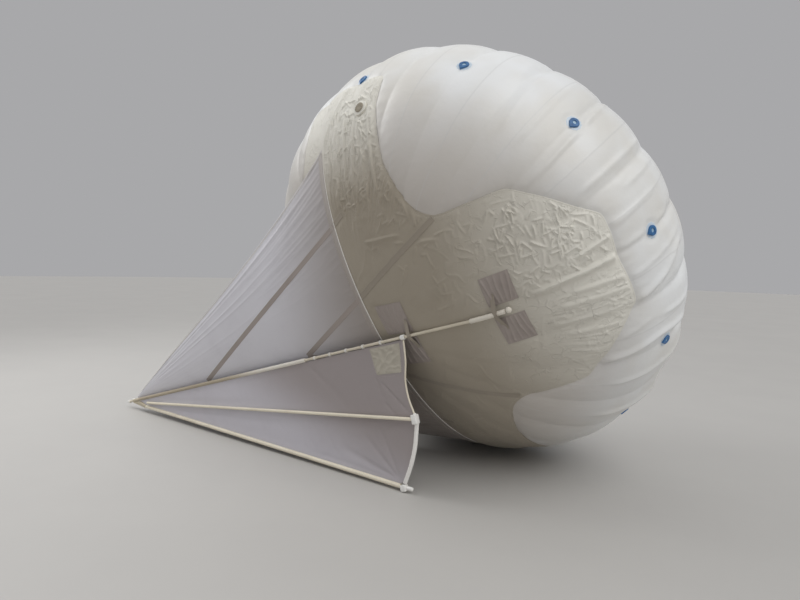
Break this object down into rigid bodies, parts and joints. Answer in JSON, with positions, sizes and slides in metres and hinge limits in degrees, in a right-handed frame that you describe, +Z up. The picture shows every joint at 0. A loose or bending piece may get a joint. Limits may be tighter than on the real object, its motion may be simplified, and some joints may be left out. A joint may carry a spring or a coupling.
{
  "type": "tethered aerostat",
  "caption": "Kite balloon with a gored oblate envelope, a fabric cross harness, a boom along its belly, a wide tail sail and a hinged keel sail on spars.",
  "frame": {"origin": "centre of the envelope", "axes": "+Z up as it lies, +X the boom's direction seen from above, from the tail tip to the nose, +Y away from the keel sail's open side"},
  "size_m": [4.8548, 2.4141, 3.0008],
  "materials": {
    "film": "thin white film, soft gloss, welded gores with fine creases",
    "harness_fabric": "crumpled warm grey coated cloth with raised cream hems",
    "patch_fabric": "darker grey coated cloth, glued and wrinkled",
    "sailcloth": "thin translucent ripstop, lilac white",
    "rod": "cream wrapped tube, semi gloss",
    "fitting": "white tape and moulded white plastic",
    "loop_blue": "blue moulded plastic"
  },
  "bodies": {
    "balloon": {"envelope": "film", "fill_valve": "fitting", "fill_valve_cap": "patch_fabric", "harness": "harness_fabric", "boom": "rod", "boom_end_sleeve": "rod", "front_patch_left": "patch_fabric", "front_patch_right": "patch_fabric", "rear_patch_left": "patch_fabric", "rear_patch_right": "patch_fabric", "rear_strap": "patch_fabric", "front_strap": "patch_fabric", "nose_tie": "fitting", "rim_loop_01": "loop_blue", "rim_loop_02": "loop_blue", "rim_loop_03": "loop_blue", "rim_loop_04": "loop_blue", "rim_loop_05": "loop_blue", "rim_loop_06": "loop_blue", "rim_loop_07": "loop_blue", "rim_loop_08": "loop_blue", "rim_loop_09": "loop_blue", "rim_loop_10": "loop_blue", "rim_loop_11": "loop_blue", "rim_loop_12": "loop_blue", "rim_loop_13": "loop_blue", "tail_sail": "sailcloth", "tail_cap": "fitting", "tail_saddle": "fitting"},
    "keel": {"foot_spar": "rod", "mid_strut": "rod", "upper_batten": "rod", "lower_luff": "sailcloth", "keel_boot": "fitting", "boom_sleeve": "sailcloth", "keel_lashing_1": "fitting", "keel_lashing_2": "fitting", "keel_lashing_3": "fitting", "keel_lashing_4": "fitting", "keel_lashing_5": "fitting", "keel_collar": "fitting", "mid_fitting": "fitting", "foot_fitting": "fitting", "keel_sail": "sailcloth", "keel_patch": "harness_fabric"}
  },
  "joints": [
    {"name": "keel_swing", "type": "hinge", "parent": "balloon", "child": "keel", "pos_m": [-3.2222, -0.94995, -1.44474], "axis": [0.9608, 0, 0.2773], "range_deg": [-152.5, 27.5]}
  ]
}
